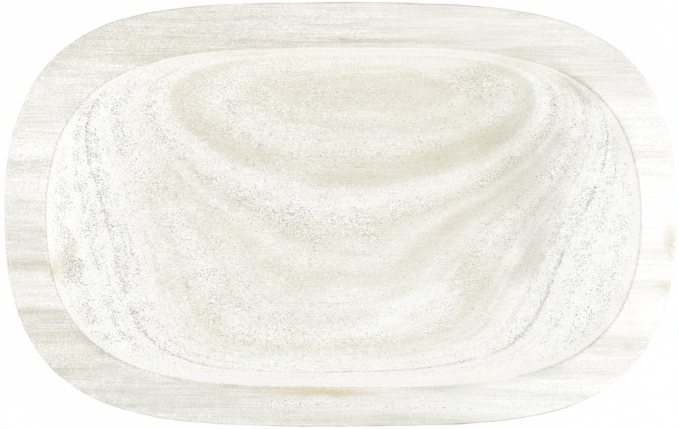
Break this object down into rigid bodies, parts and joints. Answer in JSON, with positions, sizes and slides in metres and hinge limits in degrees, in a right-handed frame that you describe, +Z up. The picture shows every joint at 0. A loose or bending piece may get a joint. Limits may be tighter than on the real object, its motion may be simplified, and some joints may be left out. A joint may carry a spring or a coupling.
{
  "type": "dough bowl",
  "caption": "Long oval dough bowl carved from one block of pale limed wood, with a broad flat rim, a smoothly scooped hollow and a small flat base.",
  "frame": {"origin": "middle of the flat base, on the surface that the bowl stands on", "axes": "+X along the bowl's length, +Y across its width, +Z up out of the hollow"},
  "size_m": [0.508, 0.32, 0.095],
  "materials": {
    "limed_wood": "pale open-pored wood under a rubbed whitewash, dull, with growth rings showing through"
  },
  "bodies": {
    "root": {"bowl": "limed_wood"}
  },
  "joints": []
}
